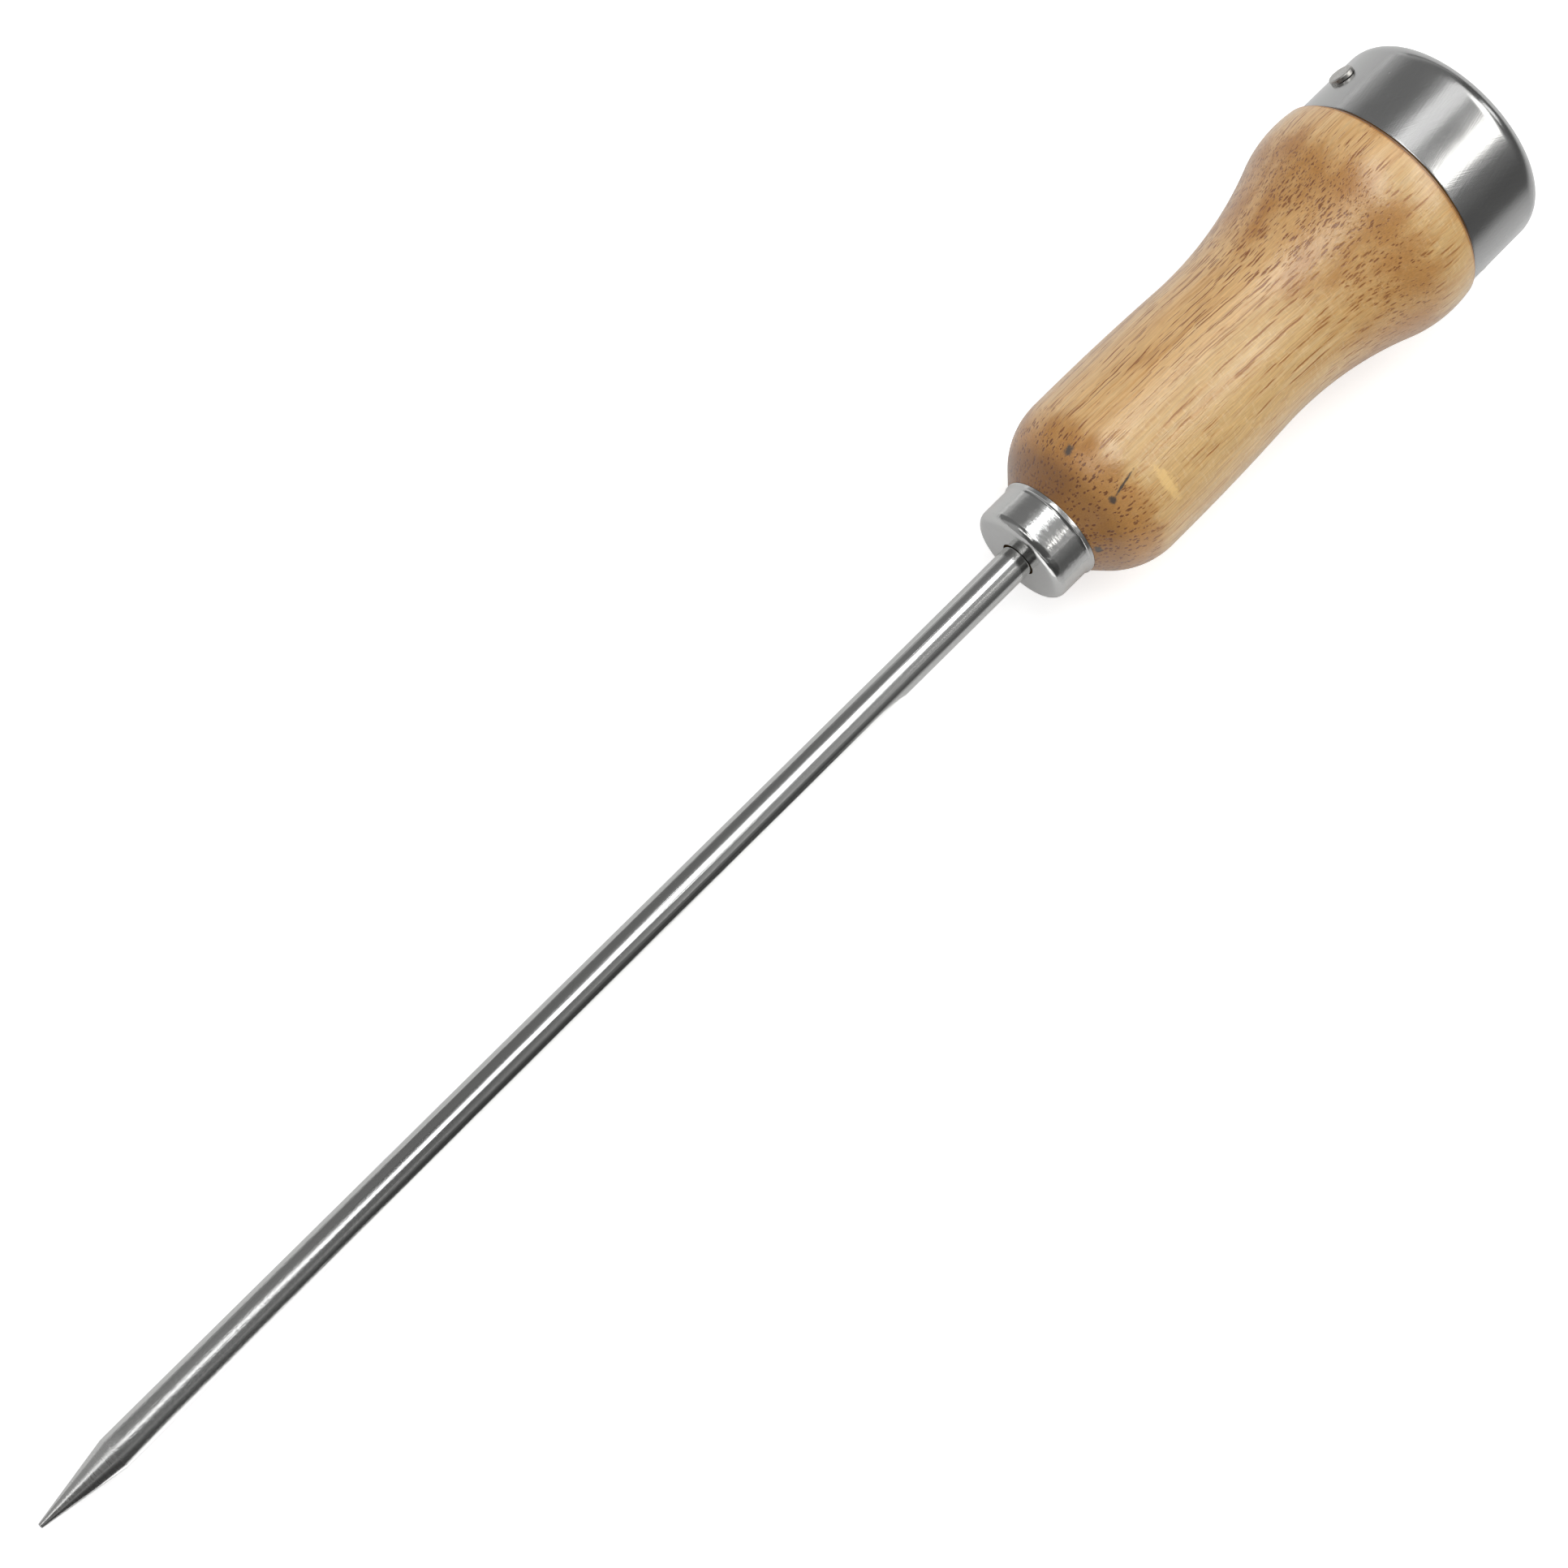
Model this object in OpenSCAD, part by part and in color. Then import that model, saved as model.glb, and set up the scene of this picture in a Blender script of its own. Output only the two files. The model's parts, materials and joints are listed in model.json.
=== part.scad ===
// Ice pick with a turned wooden handle, a front ferrule and a nailed striking cap.
// The axis lies along X: the striking face is at the origin and the point is at +X.
// A station is a distance along the axis from the striking face. Sizes are in millimetres.

/* [Spike] */
// Length of the spike that shows, from the ferrule's face to the point
spike_reach = 147.85; // [80:0.05:250]
// Diameter of the polished shank
shank_d = 3.97; // [3:0.01:6]
// Length of the ground cone at the point
point_length = 10.3; // [6:0.05:30]
// Diameter of the blunted end of the point
point_end_d = 0.6; // [0.2:0.02:1.2]
// How far the tang is ground down below the shank
tang_step = 0.235; // [0.17:0.005:0.4]
// Length of the tang behind the ferrule's face
tang_length = 50; // [30:0.5:55]
// Chamfer on the end of the tang
tang_chamfer = 0.7; // [0.2:0.1:1]
// Number of grooves pressed into the tang
groove_count = 7; // [2:1:8]
// Distance from one groove to the next
groove_pitch = 2.4; // [1.5:0.1:3]
// Length of one groove's slope
groove_width = 1.4; // [0.5:0.1:1.5]
// Depth of one groove
groove_depth = 0.3; // [0.1:0.05:0.5]

/* [Front ferrule] */
// Outside diameter of the cup
ferrule_d = 12.7; // [10:0.02:16]
// Length from the cup's face to the back of its lip
ferrule_length = 5.55; // [4:0.05:10]
// Thickness of the ferrule's sheet
ferrule_sheet = 0.5; // [0.3:0.05:0.9]
// Outside radius between the face and the wall
ferrule_corner = 1.15; // [0.9:0.05:1.8]
// How far the lip flares out past the wall
lip_flare = 0.22; // [0.1:0.02:0.4]
// Length of the flare along the axis
lip_length = 0.9; // [0.5:0.05:1.5]
// Length of the lip's straight edge
lip_edge = 0.25; // [0.1:0.02:0.4]
// Gap round the shank in the ferrule's hole
hole_gap = 0.2; // [0.05:0.01:0.5]

/* [Handle] */
// Length from the striking face to the ferrule's face
handle_length = 74.4; // [66:0.1:110]
// Diameter of the grip in front of the waist
grip_d = 22.12; // [18:0.02:25]
// Length of the straight grip behind the front shoulder
grip_straight = 3.15; // [1.6:0.05:8]
// Depth of the waist below the grip
waist_dip = 0.47; // [0.2:0.01:2]
// Distance from the top of the rear swell to the waist
waist_set = 22.75; // [18:0.05:27]
// Height of the rear swell above the cap
swell_rise = 0.74; // [0.3:0.01:2]
// Distance from the cap's rim to the top of the swell
swell_set = 2.9; // [1:0.05:5]
// Radius of the swell's curve
swell_round = 15.5; // [8:0.1:20]
// Radius of the front shoulder's curve
shoulder_round = 9.8; // [4:0.1:12]
// Angle between the nose's cone and the axis
nose_slope = 43.5; // [35:0.1:55]

/* [Striking cap] */
// Outside diameter of the cap
cap_d = 28; // [25:0.1:34]
// Length from the striking face to the rim
cap_length = 12.65; // [10:0.05:16]
// Thickness of the cap's sheet
cap_sheet = 0.45; // [0.3:0.05:0.9]
// Outside radius between the striking face and the wall
cap_corner = 3; // [1:0.1:5]

/* [Cap nails] */
// Distance from the cap's rim back to the nails
nail_set = 5.2; // [3:0.05:6]
// Turn of the nails about the axis
nail_turn = 56.1; // [0:0.1:180]
// Diameter of a nail's head
nail_head_d = 3.1; // [2.4:0.02:3.8]
// Height of a nail's head
nail_head_height = 0.6; // [0.5:0.05:1.5]
// Chamfer on the edge of a nail's head
nail_head_edge = 0.2; // [0.05:0.01:0.3]
// Diameter of a nail's shank
nail_shank_d = 1.8; // [1:0.05:2]
// Length of a nail below its head
nail_length = 10; // [5:0.1:11]
// Length of a nail's point
nail_point = 2; // [0.8:0.1:3]

/* [Fits] */
// Gap between the cap's wall and the spigot
cap_fit = 0.05; // [0.02:0.01:0.2]
// Gap between the ferrule's wall and the nose
ferrule_fit = 0.05; // [0.02:0.01:0.2]
// Gap between the tang and its bore
tang_fit = 0.02; // [0.01:0.01:0.1]
// Gap between a nail and the wood
nail_fit = 0.02; // [0.01:0.01:0.1]
// Gap between a nail and the cap's hole
nail_hole_gap = 0.08; // [0.05:0.01:0.2]
// Gap left at the blind end of a fit
end_gap = 0.3; // [0.1:0.05:0.6]
// Gap between the cap's rim and the wood's shoulder
rim_gap = 0.2; // [0.05:0.05:0.5]

/* [Hidden] */
$fn = 180;
// Steps in a full circle of the handle's long curves
arc_steps = 720;

// How far a blank or a cutter runs past the face that is cut
cut = 0.1;
// How far curves cross each other where they would only touch
blend = 0.001;
// How far a swell runs on under its neighbours
lap = 1.5;
// Angle between a drill point's cone and the plane across its axis
drill_slope = 31;
// Chamfer that clears a round corner, as a share of the corner's radius
corner_relief = 0.65;
// Least inside radius of a drawn corner
least_corner = 0.1;
// Share of the nose's cone that its rounded shoulder may take up
shoulder_share = 0.95;

shank_r = shank_d / 2;
tang_r = shank_r - tang_step;
ferrule_r = ferrule_d / 2;
ferrule_bore_r = ferrule_r - ferrule_sheet;
ferrule_bore_corner = max(ferrule_corner - ferrule_sheet, least_corner);
lip_r = ferrule_r + lip_flare;
cap_r = cap_d / 2;
cap_bore_r = cap_r - cap_sheet;
cap_bore_corner = max(cap_corner - cap_sheet, least_corner);
nail_shank_r = nail_shank_d / 2;
nail_at = cap_length - nail_set;

// Stations of the spike
face_at = handle_length;
point_at = face_at + spike_reach;
point_root_at = point_at - point_length;
tang_end_at = face_at - tang_length;

// Stations and radii of the handle's outline, from the cap's rim to the ferrule's lip
rim_at = cap_length + rim_gap;
swell_at = cap_length + swell_set;
swell_r = cap_r + swell_rise;
grip_r = grip_d / 2;
waist_at = swell_at + waist_set;
waist_r = grip_r - waist_dip;
lip_at = face_at - ferrule_length;
nose_slant = (grip_r - lip_r) / sin(nose_slope);
shoulder_r = min(shoulder_round, shoulder_share * nose_slant / tan(nose_slope / 2));
shoulder_at = lip_at - nose_slant * cos(nose_slope) - shoulder_r * tan(nose_slope / 2);
shoulder_end_at = shoulder_at + shoulder_r * sin(nose_slope);
shoulder_end_r = grip_r - shoulder_r * (1 - cos(nose_slope));
grip_at = shoulder_at - grip_straight;

// Two arcs that meet smoothly: the sum of their radii for a run along the axis and a rise across it
function ogee_radii(run, rise) = (run * run + rise * rise) / (2 * rise);

// From the swell down to the waist
fall = swell_r - waist_r;
fall_radii = ogee_radii(waist_set, fall);
waist_round = fall_radii - swell_round;
fall_at = swell_at + waist_set * swell_round / fall_radii;
fall_r = swell_r - fall * swell_round / fall_radii;

// From the waist up to the grip
climb = grip_at - waist_at;
climb_radii = ogee_radii(climb, waist_dip);
grip_round = climb_radii - waist_round;
climb_turn_at = waist_at + climb * waist_round / climb_radii;

// Turns a half section, radius across and station up, about the pick's axis
module turned() {
    rotate([0, 90, 0]) rotate_extrude() children();
}

// Half section of a cup that is open at 0, with its closed end's corner rounded
module cup_section(radius, length, corner) {
    square([radius, length - corner]);
    translate([0, length - corner]) square([radius - corner, corner]);
    translate([radius - corner, length - corner]) intersection() {
        circle(corner);
        square(corner);
    }
}

// Half section of a straight band between two stations
module band_section(from, to, radius) {
    polygon([[0, from], [radius, from], [radius, to], [0, to]]);
}

// Half section between two stations, under a round swell whose top is at the given place
module swell_section(from, to, top_r, top_at, round) {
    intersection() {
        band_section(from, to, top_r + cut);
        translate([top_r + blend - round, top_at]) circle(round, $fn = arc_steps);
    }
}

// Half section between two stations, under a round hollow whose bottom is at the given place
module hollow_section(from, to, outer_r, bottom_r, bottom_at, round) {
    difference() {
        band_section(from, to, outer_r);
        translate([bottom_r - blend + round, bottom_at]) circle(round, $fn = arc_steps);
    }
}

// Places a child that points outwards at each nail
module at_nails() {
    for (side = [0, 180]) {
        rotate([0, 90, 0]) translate([0, 0, nail_at]) rotate([0, 0, nail_turn + side])
            rotate([0, 90, 0]) children();
    }
}

module spike() {
    color("silver") turned() difference() {
        polygon([
            [0, tang_end_at],
            [tang_r - tang_chamfer, tang_end_at],
            [tang_r, tang_end_at + tang_chamfer],
            [tang_r, face_at],
            [shank_r, face_at],
            [shank_r, point_root_at],
            [point_end_d / 2, point_at],
            [0, point_at]
        ]);
        for (i = [1 : groove_count]) {
            translate([tang_r, tang_end_at + i * groove_pitch])
                polygon([[-groove_depth, 0], [cut, 0], [cut, groove_width], [0, groove_width]]);
        }
    }
}

module front_ferrule() {
    color("gainsboro") turned() difference() {
        union() {
            translate([0, lip_at]) cup_section(ferrule_r, ferrule_length, ferrule_corner);
            lip_section();
        }
        translate([0, lip_at - cut])
            cup_section(ferrule_bore_r, ferrule_length - ferrule_sheet + cut, ferrule_bore_corner);
        translate([0, lip_at]) square([shank_r + hole_gap, ferrule_length + cut]);
    }
}

// The ferrule's lip: a straight edge at the wood and a hollow flare down to the wall
module lip_section() {
    flare_at = lip_at + lip_length;
    flare_round = ogee_radii(lip_length - lip_edge, lip_flare);
    hollow_section(lip_at, flare_at, lip_r, ferrule_r, flare_at, flare_round);
}

module handle() {
    color("burlywood") difference() {
        turned() handle_section();
        turned() tang_bore_section();
        at_nails() translate([0, 0, cap_r - nail_length - end_gap])
            cylinder(r = nail_shank_r + nail_fit, h = nail_length + end_gap);
    }
}

// The handle's outline from the spigot inside the cap to the nose inside the ferrule
module handle_section() {
    spigot_section();
    swell_section(rim_at, fall_at + lap, swell_r, swell_at, swell_round);
    hollow_section(fall_at, climb_turn_at, fall_r + cut, waist_r, waist_at, waist_round);
    swell_section(climb_turn_at - lap, grip_at + lap, grip_r, grip_at, grip_round);
    band_section(grip_at, shoulder_at, grip_r);
    swell_section(shoulder_at - lap, min(shoulder_end_at + lap, lip_at), grip_r, shoulder_at, shoulder_r);
    polygon([[0, shoulder_end_at], [shoulder_end_r, shoulder_end_at], [lip_r, lip_at], [0, lip_at]]);
    nose_section();
}

// The handle's rear end, with a chamfer that clears the cap's inner corner
module spigot_section() {
    end_at = cap_sheet + end_gap;
    spigot_r = cap_bore_r - cap_fit;
    chamfer = corner_relief * cap_bore_corner;
    polygon([
        [0, end_at],
        [spigot_r - chamfer, end_at],
        [spigot_r, end_at + chamfer],
        [spigot_r, rim_at],
        [0, rim_at]
    ]);
}

// The handle's front end, with a chamfer that clears the ferrule's inner corner
module nose_section() {
    end_at = face_at - ferrule_sheet - end_gap;
    nose_r = ferrule_bore_r - ferrule_fit;
    chamfer = corner_relief * ferrule_bore_corner;
    polygon([
        [0, lip_at],
        [nose_r, lip_at],
        [nose_r, end_at - chamfer],
        [nose_r - chamfer, end_at],
        [0, end_at]
    ]);
}

// The blind bore for the tang, with its drill point
module tang_bore_section() {
    bore_r = tang_r + tang_fit;
    bore_end_at = tang_end_at - end_gap;
    polygon([
        [0, bore_end_at - bore_r * tan(drill_slope)],
        [bore_r, bore_end_at],
        [bore_r, face_at],
        [0, face_at]
    ]);
}

module striking_cap() {
    color("darkgray") difference() {
        turned() translate([0, cap_length]) mirror([0, 1]) difference() {
            cup_section(cap_r, cap_length, cap_corner);
            translate([0, -cut])
                cup_section(cap_bore_r, cap_length - cap_sheet + cut, cap_bore_corner);
        }
        at_nails() cylinder(r = nail_shank_r + nail_hole_gap, h = cap_r + cut);
    }
}

module cap_nails() {
    color("gray") at_nails() rotate_extrude() translate([0, cap_r]) polygon([
        [0, -nail_length],
        [nail_shank_r, nail_point - nail_length],
        [nail_shank_r, 0],
        [nail_head_d / 2, 0],
        [nail_head_d / 2, nail_head_height - nail_head_edge],
        [nail_head_d / 2 - nail_head_edge, nail_head_height],
        [0, nail_head_height]
    ]);
}

spike();
front_ferrule();
handle();
striking_cap();
cap_nails();
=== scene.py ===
import json
import math

import bpy
import numpy as np
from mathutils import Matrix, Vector


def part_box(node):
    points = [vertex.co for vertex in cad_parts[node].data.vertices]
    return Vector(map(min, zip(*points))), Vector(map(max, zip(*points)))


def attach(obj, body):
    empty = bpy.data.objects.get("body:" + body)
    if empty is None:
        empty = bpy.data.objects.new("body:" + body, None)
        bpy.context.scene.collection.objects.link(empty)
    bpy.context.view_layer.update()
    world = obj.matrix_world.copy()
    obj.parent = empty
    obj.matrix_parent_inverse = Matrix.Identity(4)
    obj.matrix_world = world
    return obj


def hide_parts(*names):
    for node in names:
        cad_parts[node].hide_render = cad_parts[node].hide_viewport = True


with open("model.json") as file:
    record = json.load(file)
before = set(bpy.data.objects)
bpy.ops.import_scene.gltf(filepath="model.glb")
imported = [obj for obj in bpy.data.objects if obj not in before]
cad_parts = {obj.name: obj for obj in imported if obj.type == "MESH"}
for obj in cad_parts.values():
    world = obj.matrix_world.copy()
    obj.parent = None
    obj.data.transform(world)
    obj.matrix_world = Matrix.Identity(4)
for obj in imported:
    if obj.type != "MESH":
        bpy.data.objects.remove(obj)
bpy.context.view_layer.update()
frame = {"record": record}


# Handle
# One piece of open-pored hardwood, turned between centres, sanded and dipped in clear satin lacquer.
# It is bored for the spike's tang, and every other piece is pressed or nailed on to it.
# Sizes are in millimetres along the axis from the striking face, and meshes are in metres.
MM = 0.001


def span_of(node):
    """First and last station of a CAD node along the axis, in millimetres."""
    low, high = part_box(node)
    return low.x / MM, high.x / MM


def radius_of(node):
    """Largest reach of a CAD node across the axis, in millimetres."""
    low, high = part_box(node)
    return (high.y - low.y) / 2 / MM


spigot_end_at, nose_end_at = span_of("handle")
swell_r = radius_of("handle")
cap_length = span_of("striking_cap")[1]
lip_at = span_of("front_ferrule")[0]
lip_r = radius_of("front_ferrule")
tang_end_at = span_of("spike")[0]

rim_gap = 0.2
spigot_r = 13.5
spigot_chamfer = 1.66
nose_r = 5.80
nose_chamfer = 0.42
bore_r = 1.77
rim_break = 0.45

swell_set = 2.9
swell_round = 15.5
waist_set = 22.75
waist_r = 10.59
grip_r = 11.06
grip_straight = 3.15
shoulder_round = 9.8
nose_slope = math.radians(43.5)


def ogee_radii(run, rise):
    """Sum of the radii of two arcs that meet smoothly: (run squared + rise squared) over twice the rise."""
    return (run ** 2 + rise ** 2) / (2 * rise)


swell_at = cap_length + swell_set
waist_at = swell_at + waist_set
nose_run = (grip_r - lip_r) / math.tan(nose_slope)
shoulder_at = lip_at - nose_run - shoulder_round * math.tan(nose_slope / 2)
shoulder_end_at = shoulder_at + shoulder_round * math.sin(nose_slope)
grip_at = shoulder_at - grip_straight
fall_radii = ogee_radii(waist_at - swell_at, swell_r - waist_r)
waist_round = fall_radii - swell_round
fall_at = swell_at + (waist_at - swell_at) * swell_round / fall_radii
climb_radii = ogee_radii(grip_at - waist_at, grip_r - waist_r)
grip_round = climb_radii - waist_round
climb_turn_at = waist_at + (grip_at - waist_at) * waist_round / climb_radii


def crest(station, top_at, top_r, round_r):
    """Radius under a round swell: its top less the drop of a circle away from the top's station."""
    return top_r - round_r + np.sqrt(np.maximum(round_r ** 2 - (station - top_at) ** 2, 0))


def handle_radius(station):
    """Outline of the bare wood from the cap to the ferrule, each stretch an arc or a line.

    It runs over the swell, the waist, the grip, a straight, the shoulder and the nose's cone.
    """
    hollow = waist_r + waist_round - np.sqrt(np.maximum(waist_round ** 2 - (station - waist_at) ** 2, 0))
    return np.select(
        [station < fall_at, station < climb_turn_at, station < grip_at, station < shoulder_at,
         station < shoulder_end_at],
        [crest(station, swell_at, swell_r, swell_round), hollow,
         crest(station, grip_at, grip_r, grip_round), np.full_like(station, grip_r),
         crest(station, shoulder_at, grip_r, shoulder_round)],
        lip_r + (lip_at - station) * math.tan(nose_slope))


def turned_points(outline, turns):
    """Grid of a lathe-turned surface: each outline point (station, radius) swept round the X axis.

    At turn a the point lies at (station, radius times sine a, radius times cosine a).
    """
    angle = np.arange(turns) * (2 * np.pi / turns)
    station, radius = np.asarray(outline, float).T
    across = radius[:, None] * np.sin(angle)
    up = radius[:, None] * np.cos(angle)
    along = np.broadcast_to(station[:, None], across.shape)
    return np.stack([along, across, up], axis=-1)


def grid_faces(rows, turns, closed):
    """Quads between neighbouring rows of a turned grid, wrapped round the turn.

    On a closed outline the last row also meets the first.
    """
    row = np.arange(rows if closed else rows - 1)[:, None]
    turn = np.arange(turns)[None, :]
    here, ahead = row * turns, (row + 1) % rows * turns
    side = (turn + 1) % turns
    return np.stack([here + turn, here + side, ahead + side, ahead + turn], axis=-1).reshape(-1, 4)


def shell(grid, closed):
    """Points of a turned grid, and its faces in blocks of quads or triangles.

    A closed outline is whole as it is. An open one gets a fan of triangles to a pole at each end.
    """
    rows, turns = grid.shape[:2]
    points = grid.reshape(-1, 3)
    faces = [grid_faces(rows, turns, closed)]
    if not closed:
        turn = np.arange(turns)
        side = (turn + 1) % turns
        end = (rows - 1) * turns
        first_pole, last_pole = rows * turns, rows * turns + 1
        points = np.concatenate([points, [grid[0].mean(0), grid[-1].mean(0)]])
        faces.append(np.stack([side, turn, np.full(turns, first_pole)], -1))
        faces.append(np.stack([end + turn, end + side, np.full(turns, last_pole)], -1))
    return points, faces


crease = math.radians(30)


def make_piece(name, points, faces, finish, node, slot):
    """A smooth mesh object in metres, which stands for a CAD node and rides on the part's one body."""
    mesh = bpy.data.meshes.new(name)
    mesh.from_pydata((points * MM).tolist(), [], [face for block in faces for face in block.tolist()])
    mesh.shade_smooth()
    mesh.set_sharp_from_angle(angle=crease)
    mesh.materials.append(finish)
    piece = bpy.data.objects.new(name, mesh)
    bpy.context.scene.collection.objects.link(piece)
    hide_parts(node)
    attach(piece, "root")
    return piece


class Finish:
    """A material's nodes, written as nested calls: each call adds a node and gives back one output."""

    def __init__(self, name):
        self.material = bpy.data.materials.new(name)
        self.material.use_nodes = True
        self.tree = self.material.node_tree
        self.shader = self.tree.nodes["Principled BSDF"]

    def add(self, kind, sockets, out=0, **settings):
        """A new node with its settings and inputs; an input is a value or another node's output."""
        node = self.tree.nodes.new("ShaderNode" + kind)
        for key, value in settings.items():
            setattr(node, key, value)
        for key, value in sockets.items():
            self.feed(node.inputs[key], value)
        return node.outputs[out]

    def feed(self, socket, value):
        """Links another node's output to an input, or sets a plain value there."""
        if isinstance(value, bpy.types.NodeSocket):
            self.tree.links.new(value, socket)
        else:
            socket.default_value = value

    def surface(self, **sockets):
        """Feeds the main shader's sockets, each named in small letters with underscores."""
        for key, value in sockets.items():
            self.feed(self.shader.inputs[key.replace("_", " ").title().replace("Ior", "IOR")], value)

    def place(self, scale=(1, 1, 1), turn=(0, 0, 0)):
        """Object coordinates in millimetres, then turned and scaled along X, Y and Z."""
        spot = self.add("TexCoord", {}, out="Object")
        factor = [s / MM for s in scale]
        return self.add("Mapping", {"Vector": spot, "Scale": factor, "Rotation": turn})

    def spot(self, centre, reach, turn=(0, 0, 0)):
        """Distance from a mark's centre in millimetres, where 1 is its edge along its own three axes."""
        spot = self.add("TexCoord", {}, out="Object")
        near = self.add("Mapping", {"Vector": spot, "Location": [c * MM for c in centre], "Rotation": turn,
                                    "Scale": [r * MM for r in reach]}, vector_type="TEXTURE")
        return self.add("VectorMath", {0: near}, out="Value", operation="LENGTH")

    def axes(self, vector):
        """The three coordinates of a place."""
        node = self.tree.nodes.new("ShaderNodeSeparateXYZ")
        self.feed(node.inputs[0], vector)
        return list(node.outputs)

    def noise(self, vector, scale=1.0, detail=2.0, out=0):
        """Soft uneven clouds from 0 to 1."""
        return self.add("TexNoise", {"Vector": vector, "Scale": scale, "Detail": detail}, out)

    def cells(self, vector, scale=1.0, out="Distance"):
        """Distance to the nearest of many scattered centres, or that centre's own colour."""
        return self.add("TexVoronoi", {"Vector": vector, "Scale": scale}, out)

    def fade(self, value, start, end, low=0.0, high=1.0):
        """Smooth step of a value from low at start to high at end."""
        return self.add("MapRange", {"Value": value, "From Min": start, "From Max": end,
                                     "To Min": low, "To Max": high}, interpolation_type="SMOOTHSTEP")

    def sum(self, a, b):
        """One value plus another."""
        return self.add("Math", {0: a, 1: b}, operation="ADD")

    def times(self, a, b):
        """One value times another."""
        return self.add("Math", {0: a, 1: b}, operation="MULTIPLY")

    def most(self, a, b):
        """The larger of two values."""
        return self.add("Math", {0: a, 1: b}, operation="MAXIMUM")

    def tint(self, factor, a, b, blend_type="MIX"):
        """One colour that turns into another as a factor goes from 0 to 1."""
        return self.add("Mix", {0: factor, 6: a, 7: b}, out=2, data_type="RGBA", blend_type=blend_type)

    def bump(self, height, depth, strength=1.0):
        """Relief of a height from 0 to 1 over a depth in millimetres."""
        return self.add("Bump", {"Height": height, "Distance": depth * MM, "Strength": strength})


def lacquered_wood():
    """Long vessels cut by the turned surface, under a satin film of lacquer.

    They are streaks where the surface runs along the grain, and dots where it crosses it. Crossed grain also
    soaks up more lacquer and is darker. The nose's darkest brown is partly that and partly painted shade.
    """
    wood = Finish("lacquered_wood")
    grain_turn = (0.0, 0.012, 0.025)
    wander = wood.noise(wood.place((0.03, 0.07, 0.07)), detail=1.0, out="Color")
    quiver = wood.noise(wood.place((0.35, 0.5, 0.5)), detail=2.0, out="Color")
    drift = wood.add("VectorMath", {0: wander, 1: (0.0, 2.4, 2.4)}, operation="MULTIPLY")
    jitter = wood.add("VectorMath", {0: quiver, 1: (0.0, 0.35, 0.35)}, operation="MULTIPLY")
    place = wood.add("VectorMath", {0: wood.place(turn=grain_turn), 1: drift}, operation="ADD")
    place = wood.add("VectorMath", {0: place, 1: jitter}, operation="ADD")

    def stretched(along, across):
        """The wandering grain's coordinates, with a pattern's usual size in millimetres as the unit."""
        unit = (1 / along, 1 / across, 1 / across)
        return wood.add("VectorMath", {0: place, 1: unit}, operation="MULTIPLY")

    end_grain = wood.add("Attribute", {}, out="Fac", attribute_name="end_grain")
    bands = wood.noise(stretched(70.0, 6.0), detail=3.0)
    stripes = wood.noise(stretched(28.0, 0.9), detail=3.0)
    blotches = wood.noise(stretched(9.0, 3.0), detail=5.0)
    fibres = wood.noise(stretched(4.0, 0.12), detail=3.0)
    flecks = wood.noise(stretched(0.35, 1.2), detail=2.0)
    honey, tan, brown = (0.64, 0.402, 0.150, 1), (0.68, 0.412, 0.165, 1), (0.43, 0.180, 0.026, 1)
    pale, orange, deep = (0.72, 0.500, 0.25, 1), (0.50, 0.232, 0.050, 1), (0.19, 0.070, 0.006, 1)
    streak, pale_streak, pore = (0.22, 0.062, 0.006, 1), (0.31, 0.115, 0.015, 1), (0.14, 0.040, 0.004, 1)
    stain_tone, scar_tone = (0.050, 0.042, 0.038, 1), (0.80, 0.53, 0.20, 1)
    side = wood.axes(place)[1]
    sapwood = wood.fade(wood.sum(side, wood.times(bands, 6.0)), 3.5, 9.0)
    colour = wood.tint(sapwood, tan, honey)
    colour = wood.tint(wood.fade(stripes, 0.54, 0.72, 0.0, 0.55), colour, orange)
    colour = wood.tint(wood.fade(stripes, 0.46, 0.30, 0.0, 0.45), colour, pale)
    colour = wood.tint(wood.times(wood.fade(flecks, 0.52, 0.72, 0.1, 0.6), sapwood), colour, pale)
    colour = wood.tint(wood.fade(end_grain, 0.05, 0.32, 0.0, 0.5), colour, orange)
    soak = wood.fade(wood.sum(end_grain, wood.times(blotches, 1.15)), 0.66, 1.06)
    colour = wood.tint(wood.times(soak, wood.fade(sapwood, 0.0, 1.0, 0.95, 0.7)), colour, brown)
    shade = wood.fade(fibres, 0.3, 0.75, 0.84, 1.08)
    colour = wood.tint(1.0, colour, wood.add("CombineColor", {0: shade, 1: shade, 2: shade}), "MULTIPLY")

    girth = wood.fade(end_grain, 0.04, 0.40, 0.62, 1.02)
    torn = wood.times(wood.sum(wood.noise(stretched(1.5, 0.10), detail=2.0), -0.5), 0.30)

    def vessels(along, across, thick, bare, width):
        """Spindle-shaped pores: each cell of a stretched pattern holds one of its own thickness, or none.

        The result is the distance to the pore's ragged wall, as a share of the cell. It is negative inside.
        """
        cell = stretched(along, across)
        lot = wood.add("SeparateColor", {0: wood.cells(cell, out="Color")}, out=0)
        reach = wood.times(wood.fade(lot, bare, 1.0, -0.05, thick), width)
        gap = wood.add("Math", {0: wood.cells(cell), 1: reach}, operation="SUBTRACT")
        return wood.sum(gap, torn)

    def core(gap, weight):
        """A pore's dark inside: 0 outside its wall, and its weight inside."""
        return wood.times(wood.fade(gap, 0.05, -0.08), weight)

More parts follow.
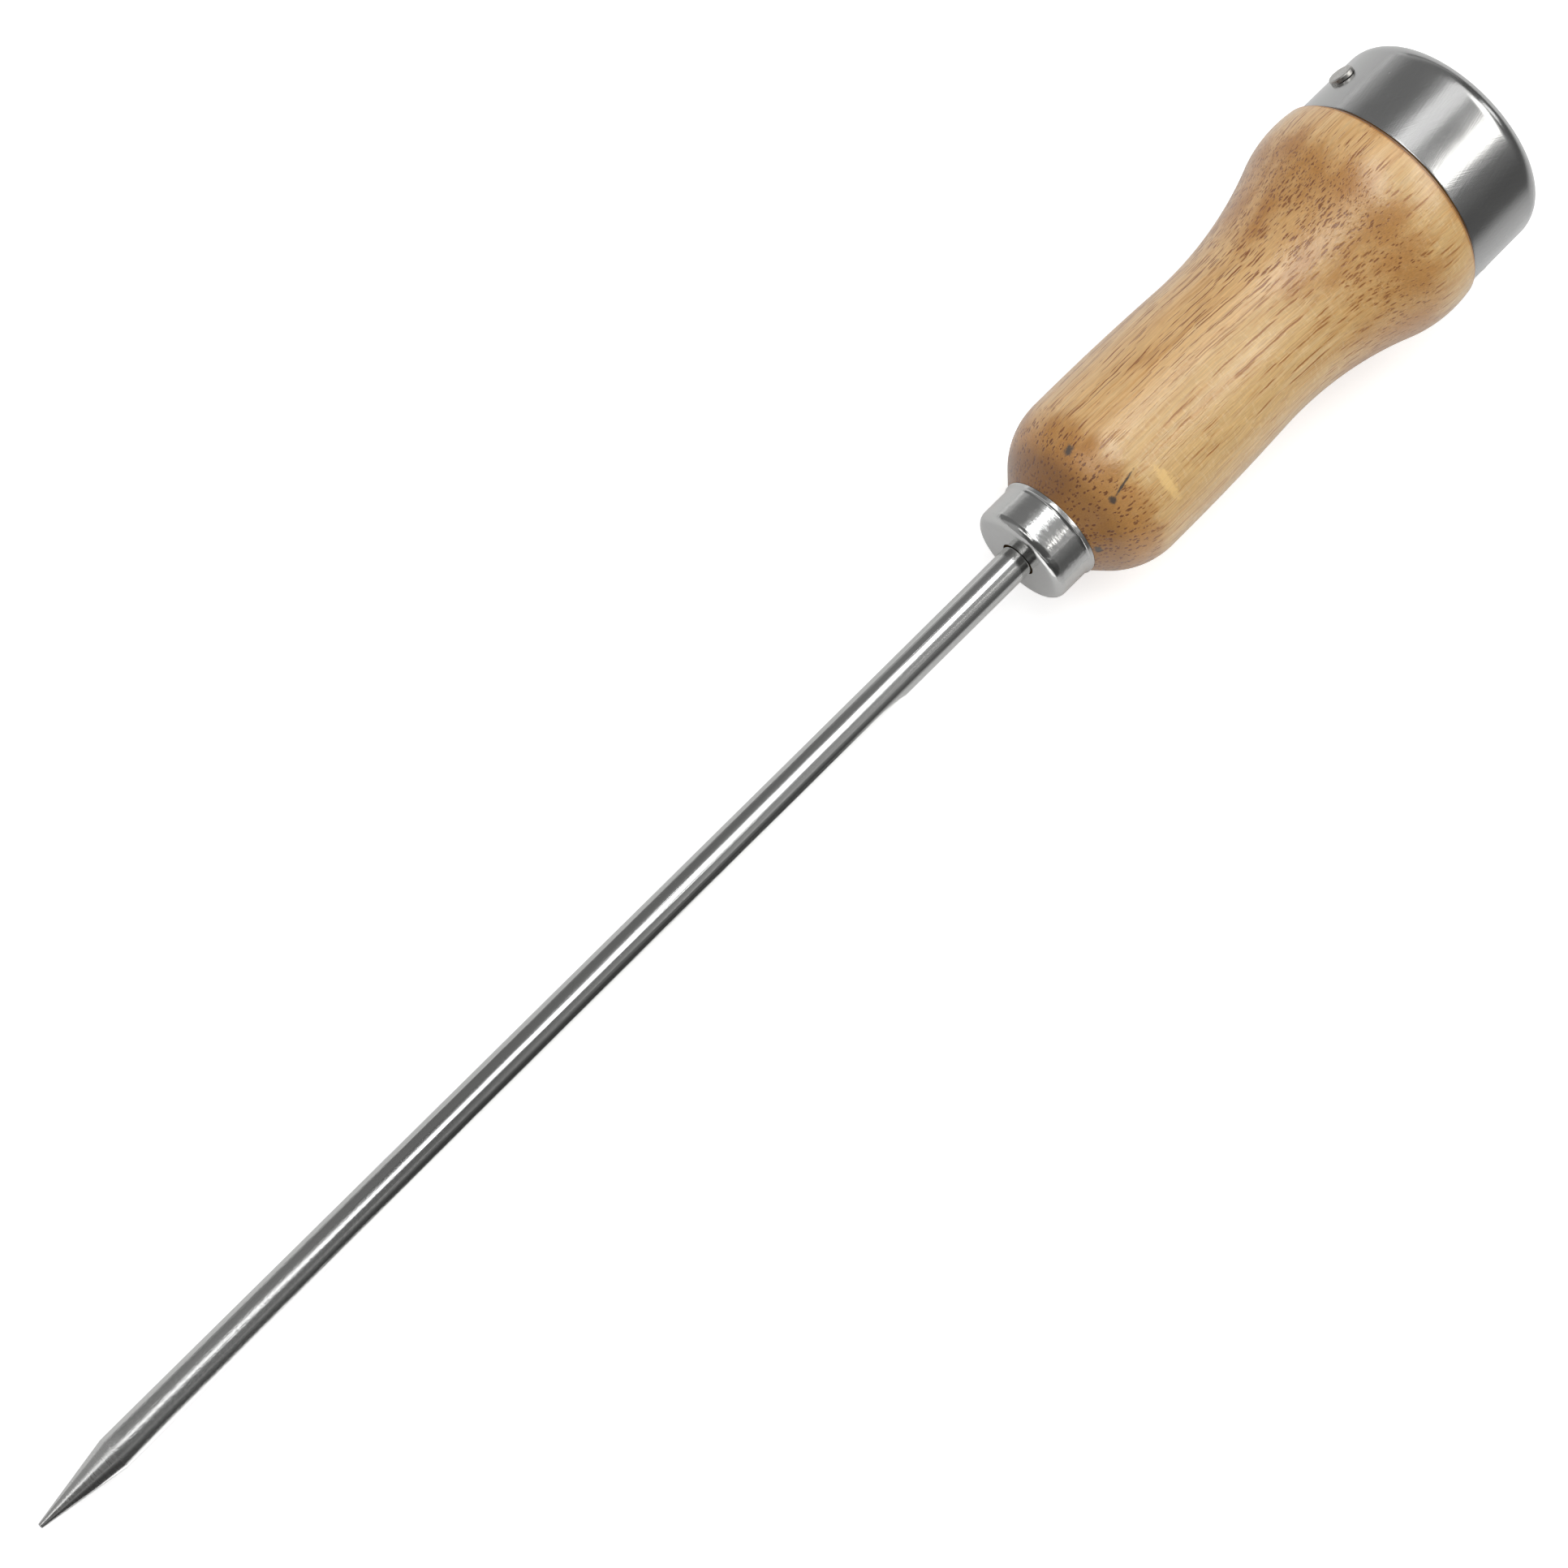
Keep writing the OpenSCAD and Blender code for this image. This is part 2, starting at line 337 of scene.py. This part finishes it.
    bold = vessels(40.0, 0.37, 0.48, 0.15, girth)
    long = vessels(45.0, 0.24, 0.54, 0.0, 0.64)
    fine = vessels(28.0, 0.22, 0.52, 0.10, 0.64)
    short = vessels(9.0, 0.44, 0.42, 0.18, girth)
    thin = vessels(30.0, 0.22, 0.40, 0.10, 0.7)
    upper = wood.fade(sapwood, 0.0, 1.0, 0.9, 0.3)
    pores = wood.most(core(bold, 1.0), wood.most(core(long, upper), core(fine, upper)))
    pores = wood.most(pores, wood.most(core(short, 0.9), core(thin, 0.55)))
    whole = wood.noise(stretched(0.45, 0.30), detail=1.0)
    pores = wood.times(pores, wood.most(wood.fade(whole, 0.36, 0.46), wood.fade(end_grain, 0.30, 0.10)))
    halo = wood.most(wood.fade(bold, 0.30, 0.0), wood.fade(short, 0.25, 0.0))
    colour = wood.tint(wood.times(halo, 0.5), colour, orange)
    # The nose's darkest brown: partly soaked end grain, partly painted shade of the nose facing away from
    # the lamps by the lip
    nose = wood.times(wood.fade(end_grain, 0.45, 0.70, 0.0, 0.8), wood.fade(sapwood, 0.0, 1.0, 1.0, 0.6))
    colour = wood.tint(nose, colour, deep)
    pore_tone = wood.tint(wood.fade(end_grain, 0.1, 0.5), wood.tint(sapwood, streak, pale_streak), pore)
    colour = wood.tint(wood.times(pores, 0.92), colour, pore_tone)

    ragged = wood.times(wood.sum(wood.noise(wood.place(), 2.2, detail=3.0), -0.5), 1.2)

    def mark(centre, reach, turn=(0, 0, 0)):
        """A ragged blot round a place on the wood, in millimetres."""
        return wood.fade(wood.sum(wood.spot(centre, reach, turn), ragged), 1.0, 0.35)

    stains = mark((64.4, -2.4, 9.8), (0.95, 0.65, 0.8))
    stains = wood.most(stains, mark((65.0, 4.8, 8.6), (0.7, 0.65, 0.6)))
    stains = wood.most(stains, mark((63.0, 4.6, 9.6), (2.7, 0.19, 0.5), (0.0, 0.40, 0.14)))
    stains = wood.most(stains, mark((68.4, 6.3, 3.0), (0.5, 0.7, 0.7)))
    colour = wood.tint(wood.times(stains, 0.9), colour, stain_tone)
    scar = mark((58.95, 7.6, 7.9), (1.0, 0.9, 3.5), (0.80, 0.12, 0.0))
    colour = wood.tint(wood.times(scar, 0.85), colour, scar_tone)

    relief = wood.sum(wood.times(pores, -0.7), wood.times(fibres, 0.3))
    grain = wood.bump(relief, 0.05, 0.6)
    ripple = wood.noise(wood.place((0.7, 1.0, 1.0)), 2.8, detail=4.0)
    film = wood.bump(wood.sum(ripple, wood.times(pores, -0.4)), 0.042, 1.0)
    wood.surface(base_color=colour, roughness=0.46, specular_ior_level=0.2, coat_weight=1.0, coat_ior=1.7,
                 coat_roughness=0.26, normal=grain, coat_normal=film)
    return wood.material


wood_rows = 230
fine_turns = 288
wood_stations = np.linspace(cap_length + rim_gap + rim_break, lip_at, wood_rows)
wood_outline = np.concatenate([
    [(spigot_end_at, spigot_r - spigot_chamfer), (spigot_end_at + spigot_chamfer, spigot_r),
     (cap_length + rim_gap, spigot_r),
     (cap_length + rim_gap, handle_radius(wood_stations[:1])[0] - rim_break)],
    np.stack([wood_stations, handle_radius(wood_stations)], -1),
    [(lip_at, nose_r), (nose_end_at - nose_chamfer, nose_r), (nose_end_at, nose_r - nose_chamfer),
     (nose_end_at, bore_r), (tang_end_at, bore_r)],
])
handle_piece = make_piece("turned_handle", *shell(turned_points(wood_outline, fine_turns), False),
                          lacquered_wood(), "handle", "handle_wood")

# How far the surface crosses the grain: the sine of its slope to the axis, and 1 at the two poles
least_run = 1e-6
rise = np.abs(np.gradient(wood_outline[:, 1]))
run = np.maximum(np.abs(np.gradient(wood_outline[:, 0])), least_run)
end_grain = np.append(np.repeat(np.sin(np.arctan2(rise, run)), fine_turns), [1.0, 1.0])
cut_across = handle_piece.data.attributes.new("end_grain", "FLOAT", "POINT")
cut_across.data.foreach_set("value", end_grain.astype(np.float32))


# Front ferrule
# A short cup drawn from thin sheet and bright plated, with a hole for the spike in its face.
# It is pressed on to the handle's nose, and its open edge flares into a lip against the wood.
face_at = span_of("front_ferrule")[1]
ferrule_r = 6.35
ferrule_sheet = 0.5
ferrule_corner = 1.15
lip_edge = 0.5
lip_length = 0.9
lip_round = 0.09
hole_r = 2.185
hole_round = 0.1
edge_steps = 8
flare_steps = 16
ferrule_corner_steps = 28
flat_steps = 10


def between(start, end, steps):
    """Evenly spaced points of station and radius along a straight stretch, without its two ends."""
    return np.linspace(start, end, steps + 2)[1:-1]


def arc(centre, radius, start, end, steps):
    """Points on a circle in the plane of station and radius, from one angle to another in degrees."""
    angle = np.radians(np.linspace(start, end, steps))
    return np.stack([centre[0] + radius * np.cos(angle), centre[1] + radius * np.sin(angle)], -1)


def bright_plate():
    """Mirror plating over drawn sheet: a faint orange peel, fine specks and slanted wiping marks."""
    plate = Finish("bright_plate")
    peel = plate.noise(plate.place((1.0, 1.3, 1.3)), 1.2, detail=3.0)
    wipes = plate.noise(plate.place((3.2, 1.0, 1.0), (0.3, 0.5, 0.4)), 1.0, detail=4.0)
    specks = plate.fade(plate.cells(plate.place(), 3.5), 0.0, 0.16)
    relief = plate.sum(plate.times(peel, 0.9), plate.times(wipes, 0.75))
    relief = plate.sum(relief, plate.times(specks, 0.10))
    plate.surface(base_color=(0.57, 0.57, 0.56, 1), metallic=1.0,
                  roughness=plate.fade(wipes, 0.35, 0.7, 0.13, 0.22),
                  normal=plate.bump(relief, 0.02, 1.0))
    return plate.material


flare_round = ogee_radii(lip_length - lip_edge, lip_r - ferrule_r)
flare_turn = math.degrees(math.asin((lip_length - lip_edge) / flare_round))
ferrule_outline = np.concatenate([
    [(lip_at, ferrule_r - ferrule_sheet)],
    arc((lip_at + lip_round, lip_r - lip_round), lip_round, 180, 90, edge_steps),
    arc((lip_at + lip_length, ferrule_r + flare_round), flare_round, 270 - flare_turn, 270, flare_steps),
    between((lip_at + lip_length, ferrule_r), (face_at - ferrule_corner, ferrule_r), flat_steps),
    arc((face_at - ferrule_corner, ferrule_r - ferrule_corner), ferrule_corner, 90, 0, ferrule_corner_steps),
    between((face_at, ferrule_r - ferrule_corner), (face_at, hole_r + hole_round), flat_steps),
    arc((face_at - hole_round, hole_r + hole_round), hole_round, 0, -90, edge_steps),
    [(face_at - ferrule_sheet, hole_r), (face_at - ferrule_sheet, ferrule_r - ferrule_corner),
     (face_at - ferrule_corner, ferrule_r - ferrule_sheet)],
])
make_piece("plated_ferrule", *shell(turned_points(ferrule_outline, fine_turns), True),
           bright_plate(), "front_ferrule", "ferrule_plate")


# Spike
# One length of hard drawn steel wire, polished along its shank and ground to a blunted cone at the point.
# Its thinner tang is driven into the bore of the handle through the hole in the ferrule.
shank_mount = frame["record"]["mounts"][1]
shank_r = shank_mount["dims"]["r_mm"]
point_at = span_of("spike")[1]
tang_r = 1.75
tang_chamfer = 0.7
groove_count = 7
groove_pitch = 2.4
groove_width = 1.4
groove_depth = 0.3
point_length = 10.3
point_end_r = 0.30
point_break = 0.08
dull_from, dull_to = 70.0, 16.0
shank_rows = 60
cone_rows = 40
cone_lead = 0.03
spike_turns = 160


def drawn_steel():
    """Polished wire: draw marks along the axis and fine pits, duller and grainier towards the point."""
    steel = Finish("drawn_steel")
    dull = steel.fade(steel.axes(steel.place())[0], point_at - dull_from, point_at - dull_to)
    draw = steel.noise(steel.place((0.05, 6.0, 6.0)), 1.0, detail=4.0)
    pits = steel.times(steel.fade(steel.cells(steel.place((0.7, 1.0, 1.0)), 3.6), 0.0, 0.22), 0.35)
    grain = steel.times(steel.noise(steel.place((0.6, 1.0, 1.0)), 4.5, detail=4.0),
                        steel.fade(dull, 0.0, 1.0, 0.15, 1.7))
    steel.surface(base_color=steel.tint(dull, (0.55, 0.55, 0.54, 1), (0.63, 0.63, 0.62, 1)), metallic=1.0,
                  roughness=steel.fade(dull, 0.0, 1.0, 0.14, 0.27),
                  normal=steel.bump(steel.sum(steel.sum(draw, pits), grain), 0.012, 1.0))
    return steel.material


def ground_steel():
    """The cone: grinding lines round it spread its shine along the axis and leave it crisp across."""
    steel = Finish("ground_steel")
    grind = steel.noise(steel.place((7.0, 0.6, 0.6)), 1.0, detail=3.0)
    round_axis = steel.add("Tangent", {}, direction_type="RADIAL", axis="X")
    steel.surface(base_color=(0.60, 0.60, 0.59, 1), metallic=1.0,
                  roughness=steel.fade(grind, 0.3, 0.7, 0.26, 0.36),
                  anisotropic=0.85, anisotropic_rotation=0.25, tangent=round_axis,
                  normal=steel.bump(grind, 0.012, 1.0))
    return steel.material


point_root_at = point_at - point_length
cone_stations = np.linspace(point_root_at + cone_lead, point_at - point_break, cone_rows)
cone_fall = (shank_r - point_end_r) / point_length
groove_at = tang_end_at + groove_pitch * np.arange(1, groove_count + 1)
tang_grooves = np.stack([np.stack([groove_at, np.full(groove_count, tang_r)], -1),
                         np.stack([groove_at, np.full(groove_count, tang_r - groove_depth)], -1),
                         np.stack([groove_at + groove_width, np.full(groove_count, tang_r)], -1)], 1)
spike_outline = np.concatenate([
    [(tang_end_at, tang_r - tang_chamfer), (tang_end_at + tang_chamfer, tang_r)],
    tang_grooves.reshape(-1, 2),
    [(face_at, tang_r)],
    np.linspace((face_at, shank_r), (point_root_at, shank_r), shank_rows),
    np.stack([cone_stations, shank_r - (cone_stations - point_root_at) * cone_fall], -1),
    [(point_at, point_end_r - point_break)],
])
spike_piece = make_piece("steel_spike", *shell(turned_points(spike_outline, spike_turns), False),
                         drawn_steel(), "spike", "spike_steel")

# The cone's faces have the second material
spike_piece.data.materials.append(ground_steel())
face_middle = np.empty(len(spike_piece.data.polygons) * 3)
spike_piece.data.polygons.foreach_get("center", face_middle)
ground = face_middle[::3] > point_root_at * MM
spike_piece.data.polygons.foreach_set("material_index", ground.astype(np.int32))


# Striking cap
# A deep cup drawn from steel sheet, rubbed to a satin finish, with a rounded end and a turned rim.
# It is pushed over the handle's spigot and pinned through its wall by two nails.
cap_r = radius_of("striking_cap")
cap_sheet = 0.45
cap_corner = 3.0
rim_round = 0.16
end_pole_r = 0.5
end_steps = 9
cap_corner_steps = 48
wall_steps = 38
rim_steps = 10
inner_steps = 16


def rubbed_steel():
    """Satin steel: fine slanted hairlines along the wall, worked out on it as if it were rolled flat.

    On the striking face the hairlines cross each other, between the shallow marks of a few knocks.
    """
    steel = Finish("rubbed_steel")
    spot = steel.place()
    x, y, z = steel.axes(spot)
    turn = steel.add("Math", {0: y, 1: z}, operation="ARCTAN2")
    wall = steel.add("CombineXYZ", {0: x, 1: steel.times(turn, cap_r), 2: 0.0})
    end = steel.add("CombineXYZ", {0: z, 1: y, 2: 0.0})
    on_end = steel.fade(x, 1.0, 0.2)

    def hairlines(flat, slant, fine, long):
        """Scratches on a flat pattern: their slant in degrees, count in a millimetre and length."""
        way = steel.add("Mapping", {"Vector": flat, "Rotation": (0, 0, math.radians(slant))})
        return steel.noise(steel.add("Mapping", {"Vector": way, "Scale": (1 / long, fine, 1)}), detail=3.0)

    wall_hair = steel.sum(hairlines(wall, 28, 6.0, 4.0), hairlines(wall, -12, 5.0, 5.0))
    end_hair = steel.sum(hairlines(end, 35, 5.0, 6.0), hairlines(end, -50, 6.0, 4.0))
    hair = steel.add("Mix", {0: on_end, 2: wall_hair, 3: end_hair})
    uneven = steel.noise(spot, 0.22, detail=2.0)
    nicks = steel.fade(steel.cells(spot, 0.33), 0.0, 0.05)
    knocks = steel.times(steel.fade(steel.cells(spot, 0.16), 0.05, 0.20), on_end)
    dents = steel.times(steel.sum(nicks, knocks), 4.0)
    relief = steel.sum(steel.sum(hair, steel.times(uneven, 3.0)), dents)
    swing = steel.times(steel.sum(hair, -1.0), steel.fade(on_end, 0.0, 1.0, 0.05, 0.30))
    grey = steel.sum(steel.sum(swing, 0.46), steel.times(knocks, -0.10))
    steel.surface(base_color=steel.add("CombineColor", {0: grey, 1: grey, 2: steel.times(grey, 0.99)}),
                  metallic=1.0, roughness=steel.fade(uneven, 0.3, 0.7, 0.17, 0.21),
                  normal=steel.bump(relief, 0.005, 1.0))
    return steel.material


cap_outline = np.concatenate([
    [(0.0, end_pole_r)],
    between((0.0, end_pole_r), (0.0, cap_r - cap_corner), end_steps),
    arc((cap_corner, cap_r - cap_corner), cap_corner, 180, 90, cap_corner_steps),
    between((cap_corner, cap_r), (cap_length - rim_round, cap_r), wall_steps),
    arc((cap_length - rim_round, cap_r - rim_round), rim_round, 90, 0, rim_steps),
    [(cap_length, cap_r - cap_sheet), (cap_corner, cap_r - cap_sheet)],
    arc((cap_corner, cap_r - cap_corner), cap_corner - cap_sheet, 90, 180, inner_steps)[1:],
])
make_piece("rubbed_cap", *shell(turned_points(cap_outline, fine_turns), False),
           rubbed_steel(), "striking_cap", "cap_steel")


# Cap nails
# Two short flat-headed steel nails, driven in opposite each other through the cap's wall into the wood.
# Their heads stand proud of the wall, and their edges are worn round.
nail_set = 5.2
nail_turn = math.radians(56.1)
nail_head_r = 1.55
nail_head_height = 0.6
nail_head_round = 0.2
nail_shank_r = 0.9
nail_length = 10.0
nail_point = 2.0
nail_tip_r = 0.02
nail_face_r = 0.7
nail_turns = 64


def dull_wire():
    """Plain drawn wire, with a mottled, handled surface."""
    steel = Finish("dull_wire")
    mottle = steel.noise(steel.place(), 2.2, detail=4.0)
    steel.surface(base_color=(0.48, 0.47, 0.45, 1), metallic=1.0,
                  roughness=steel.fade(mottle, 0.3, 0.7, 0.22, 0.4),
                  normal=steel.bump(mottle, 0.006, 1.0))
    return steel.material


nail_outline = np.concatenate([
    [(-nail_length, nail_tip_r), (nail_point - nail_length, nail_shank_r), (0.0, nail_shank_r),
     (0.0, nail_head_r)],
    arc((nail_head_height - nail_head_round, nail_head_r - nail_head_round), nail_head_round, 90, 0,
        edge_steps),
    [(nail_head_height, nail_face_r), (nail_head_height, nail_tip_r)],
])
nail_points, nail_faces = shell(turned_points(nail_outline, nail_turns), False)
nail_at = cap_length - nail_set


def nail_in_wall(points, turn):
    """A nail made along X, moved out to the cap's wall and set to point away from the axis at a turn."""
    reach, across, along = cap_r + points[:, 0], points[:, 1], points[:, 2]
    out_y, out_z = math.sin(turn), math.cos(turn)
    return np.stack([nail_at + along, reach * out_y + across * out_z, reach * out_z - across * out_y], -1)


pair_points = np.concatenate([nail_in_wall(nail_points, turn) for turn in (-nail_turn, np.pi - nail_turn)])
pair_faces = nail_faces + [block + len(nail_points) for block in nail_faces]
make_piece("nail_pair", pair_points, pair_faces, dull_wire(), "cap_nails", "nail_steel")


# Table
# A plain white matt sheet, on which the pick rests with the handle's swell and the end of the spike's shank.
# It keeps the pick's soft shadow. In reflections only, its near side is dark but for a strip by the spike.
table_reach = 3.0
table_tone = 0.75
table_glow = 0.56
strip_start = 2.2
strip_glow = 1.7
strip_edge = ((92.0, 27.5), (140.0, 19.0), (205.0, 8.5), (216.0, 2.5))
dark_glow = 0.065
rear_start, rear_end = 22.0, 85.0
rear_glow, rear_end_glow = 0.72, 0.15
soft_edge = 0.05


def sheet_of(name, corners, shader):
    """A flat sheet of the studio with straight edges, in metres."""
    mesh = bpy.data.meshes.new(name)
    mesh.from_pydata(corners, [], [range(len(corners))])
    mesh.materials.append(shader)
    sheet = bpy.data.objects.new(name, mesh)
    bpy.context.scene.collection.objects.link(sheet)
    return sheet


def white_table():
    """A pale matt sheet that glows just enough to look white in the picture.

    In reflections it shows a bright strip beside the front of the pick, up to an edge of straight stretches,
    and is dark beyond it. Beside the rear of the pick it darkens slowly away from the axis.
    """
    table = Finish("white_table")
    rays = table.tree.nodes.new("ShaderNodeLightPath").outputs
    along, across, _ = table.axes(table.place())

    def past(value, limit):
        """Step from 0 to 1 where a value passes a limit."""
        return table.fade(table.sum(value, table.times(limit, -1.0)), -soft_edge, soft_edge)

    edge = strip_edge[0][1]
    for (start, high), (end, low) in zip(strip_edge, strip_edge[1:]):
        edge = table.sum(edge, table.add("MapRange", {"Value": along, "From Min": start, "From Max": end,
                                                      "To Max": low - high}))
    split = strip_edge[0][0]
    front = table.fade(along, split - 2 * soft_edge, split + 2 * soft_edge)
    front_glow = table.fade(past(across, edge), 0.0, 1.0, strip_glow, dark_glow)
    behind_glow = table.fade(across, rear_start, rear_end, rear_glow, rear_end_glow)
    mirrored = table.add("Mix", {0: front, 2: behind_glow, 3: front_glow})
    near = past(across, table.fade(front, 0.0, 1.0, rear_start, strip_start))
    near = table.times(near, rays["Is Glossy Ray"])
    glow = table.sum(table.times(rays["Is Camera Ray"], table_glow), table.times(near, mirrored))
    table.surface(base_color=table.tint(near, (table_tone, table_tone, table_tone, 1), (0, 0, 0, 1)),
                  roughness=1.0, specular_ior_level=0.0,
                  emission_color=(1, 1, 1, 1), emission_strength=glow)
    return table.material


table_slope = (swell_r - shank_r) / (point_root_at - swell_at)
table_drop = swell_r * math.sqrt(1 + table_slope ** 2) + swell_at * table_slope
sheet_of("table", [(x, y, table_slope * x - table_drop * MM) for x, y in
                   ((-table_reach, -table_reach), (table_reach, -table_reach),
                    (table_reach, table_reach), (-table_reach, table_reach))], white_table())


# Camera
# It stands over the spike's point, near the pick and a little off to its side.
# The spike is seen almost from above, and the handle aslant from its front.
view_azimuth = math.radians(133.68)
view_elevation = math.radians(70.70)
view_distance = 0.41987
view_width = 0.1711
aim = Vector((111.57 * MM, -0.504 * MM, 0.126 * MM))
sensor = 36.0
far_clip = 20.0

back = Vector((math.sin(view_azimuth) * math.cos(view_elevation),
               -math.cos(view_azimuth) * math.cos(view_elevation),
               math.sin(view_elevation)))
camera = bpy.data.objects.new("camera", bpy.data.cameras.new("camera"))
bpy.context.scene.collection.objects.link(camera)
camera.data.sensor_width = sensor
camera.data.lens = sensor * view_distance / view_width
camera.data.clip_end = far_clip
camera.location = aim + back * view_distance
camera.rotation_euler = back.to_track_quat("Z", "Y").to_euler()
bpy.context.scene.camera = camera
bpy.context.scene.view_settings.view_transform = "Standard"


# Studio light
# A long soft box hangs over the pick, square to the picture, and a wide one beyond the cap on the near side.
# Grey cards, seen in reflections only, give the metal its bands. All places are in metres.
box_height = 0.80
box_turn = math.radians(55)
ceiling_height = 2.0
card_from, card_to = -1.3, 1.2
far_y, far_split, far_front_split = -0.30, 0.01, 0.24
far_low, far_point_low, far_high = 0.032, 0.024, 0.52
near_y, near_split = 0.80, -0.12
near_low, near_high = -0.10, 0.50
cross_reach = 1.5
window_x = card_from + 0.01
window = ((0.22, 0.72), (0.105, 0.344), (0.295, 0.206), (0.615, 0.43))
front_low = 0.20
world_light, world_seen_light = 0.74, 1.0


def soft_box(name, centre, size, glow, colour):
    """A rectangular lamp that faces straight down: glow is its radiance, where 1 is white."""
    lamp = bpy.data.lights.new(name, "AREA")
    lamp.shape = "RECTANGLE"
    lamp.size, lamp.size_y = size
    lamp.energy = glow * math.pi * lamp.size * lamp.size_y
    lamp.color = colour
    box = bpy.data.objects.new(name, lamp)
    bpy.context.scene.collection.objects.link(box)
    box.location = (*centre, box_height)
    box.rotation_euler = (0, 0, box_turn)
    box.visible_camera = False


def card(name, corners, glow, graded=None):
    """A sheet that shows in reflections only.

    It may be graded: along an axis, from its glow at one place to another glow at a second place.
    """
    finish = Finish(name)
    if graded:
        axis, start, end, end_glow = graded
        spot = finish.add("TexCoord", {}, out="Object")
        glow = finish.fade(finish.add("SeparateXYZ", {0: spot}, out=axis), start, end, glow, end_glow)
    finish.surface(base_color=(0, 0, 0, 1), specular_ior_level=0.0,
                   emission_color=(1, 1, 1, 1), emission_strength=glow)
    sheet = sheet_of(name, corners, finish.material)
    sheet.visible_camera = sheet.visible_diffuse = sheet.visible_shadow = False


soft_box("long_box", centre=(-0.078, -0.032), size=(0.522, 0.260), glow=3.3, colour=(0.97, 0.985, 1.0))
soft_box("wide_box", centre=(-0.803, 0.465), size=(0.94, 0.66), glow=2.8, colour=(1.0, 0.99, 0.965))


def standing(y, start, end, low, high):
    """Corners of an upright card along the pick, from one station to another."""
    return [(start, y, low), (end, y, low), (end, y, high), (start, y, high)]


def across_axis(x, low, high):
    """Corners of an upright card square to the pick's axis."""
    return [(x, -cross_reach, low), (x, cross_reach, low), (x, cross_reach, high), (x, -cross_reach, high)]


def hanging(start, end, far, near, height):
    """Corners of a level card over the pick, between two stations and from the far to the near side."""
    return [(start, far, height), (end, far, height), (end, near, height), (start, near, height)]


card("far_card", standing(far_y, card_from, far_split, far_low, far_high),
     glow=0.55, graded=("Z", 0.05, 0.16, 0.25))
card("far_point_card", standing(far_y, far_split, far_front_split, far_point_low, far_high), glow=0.20)
card("far_front_card", standing(far_y, far_front_split, card_to, far_point_low, far_high), glow=0.42)
card("near_card", standing(near_y, card_from, near_split, near_low, near_high),
     glow=0.14, graded=("Z", 0.0, 0.45, 0.26))
card("near_point_card", standing(near_y, near_split, card_to, near_low, near_high),
     glow=0.065, graded=("Z", 0.05, 0.45, 0.20))
card("end_card", across_axis(card_from, near_low, box_height), glow=0.14)
card("end_window", [(window_x, y, z) for y, z in window], glow=1.8)
card("end_box", hanging(-1.2, -0.33, -0.295, 0.045, box_height), glow=1.4)
card("point_box", hanging(0.16, 0.33, -0.14, 0.09, box_height), glow=2.2)
card("cone_box", hanging(0.42, 0.60, -0.70, 0.03, box_height), glow=3.0, graded=("Y", -0.10, -0.50, 1.4))
card("front_card", across_axis(card_to, front_low, ceiling_height), glow=0.10)
card("ceiling", hanging(-table_reach, table_reach, -table_reach, table_reach, ceiling_height),
     glow=0.46, graded=("X", -0.60, 0.0, 0.12))

world = bpy.data.worlds.new("studio")
bpy.context.scene.world = world
world.use_nodes = True
world_nodes = world.node_tree.nodes
world_rays = world_nodes.new("ShaderNodeLightPath").outputs
world_seen = world_nodes.new("ShaderNodeMath")
world_seen.operation = "MAXIMUM"
world.node_tree.links.new(world_rays["Is Camera Ray"], world_seen.inputs[0])
world.node_tree.links.new(world_rays["Is Glossy Ray"], world_seen.inputs[1])
world_level = world_nodes.new("ShaderNodeMapRange")
world_level.inputs["To Min"].default_value = world_light
world_level.inputs["To Max"].default_value = world_seen_light
world.node_tree.links.new(world_seen.outputs[0], world_level.inputs["Value"])
world_nodes["Background"].inputs["Color"].default_value = (1, 1, 1, 1)
world.node_tree.links.new(world_level.outputs[0], world_nodes["Background"].inputs["Strength"])
